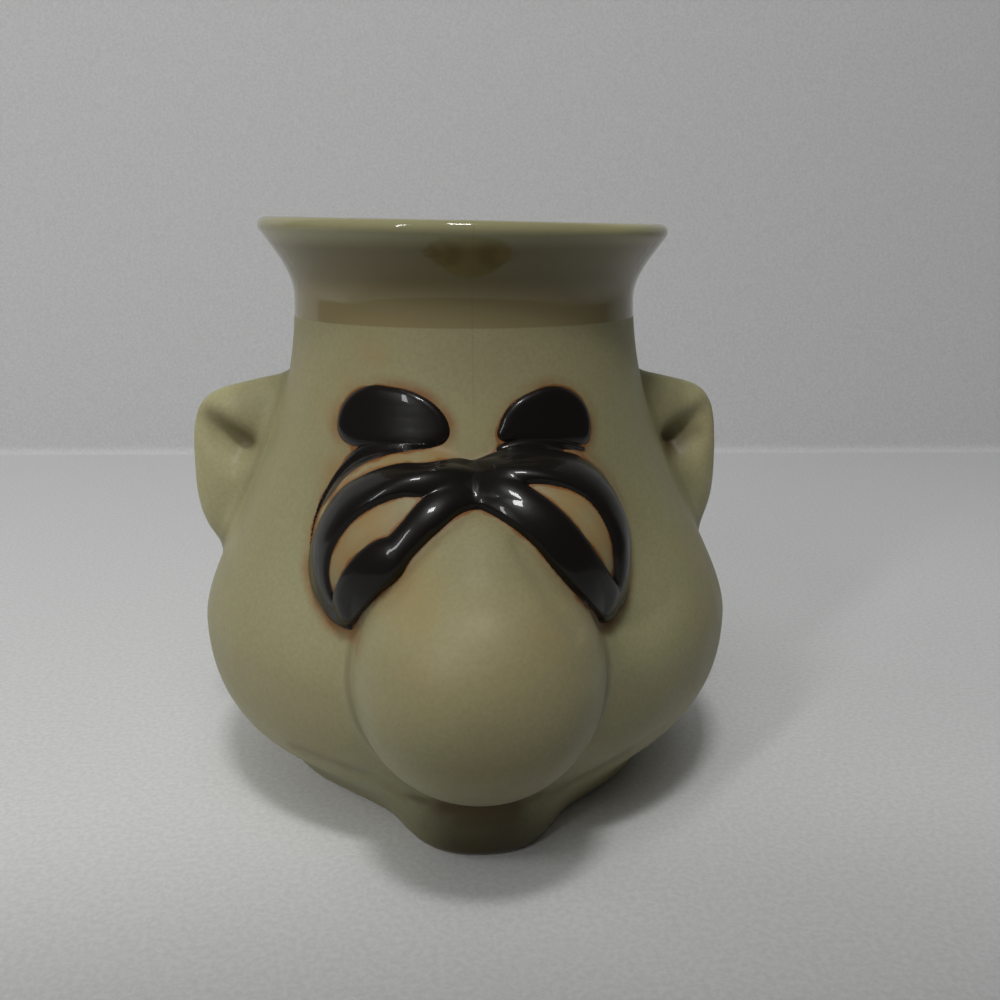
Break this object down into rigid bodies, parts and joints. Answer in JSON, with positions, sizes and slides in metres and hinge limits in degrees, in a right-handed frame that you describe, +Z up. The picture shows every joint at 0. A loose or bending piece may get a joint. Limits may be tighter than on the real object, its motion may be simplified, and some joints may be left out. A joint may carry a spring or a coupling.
{
  "type": "face mug",
  "caption": "Stoneware mug shaped as a comic head, with a flared rim, big hanging nose, heavy dark lids and brows, ears at the sides and a strap handle at the back.",
  "frame": {"origin": "centre of the flat foot, on the axis of the mug's body", "axes": "+Z up the body's axis, -Y the way the face looks, +Y the way the handle stands, +X to the right of someone facing the mug"},
  "size_m": [0.108, 0.1481, 0.11],
  "materials": {
    "beige_glaze": "satin olive-beige stoneware glaze, glossier where it runs thick at the rim",
    "dark_glaze": "thick glossy brown-black glaze"
  },
  "bodies": {
    "root": {"head_shell": "beige_glaze", "nose": "beige_glaze", "eye_left": "beige_glaze", "eye_right": "beige_glaze", "upper_lid_left": "dark_glaze", "upper_lid_right": "dark_glaze", "lower_lid_left": "dark_glaze", "lower_lid_right": "dark_glaze", "brow_left": "dark_glaze", "brow_right": "dark_glaze", "ear_left": "beige_glaze", "ear_right": "beige_glaze", "handle": "beige_glaze"}
  },
  "joints": []
}
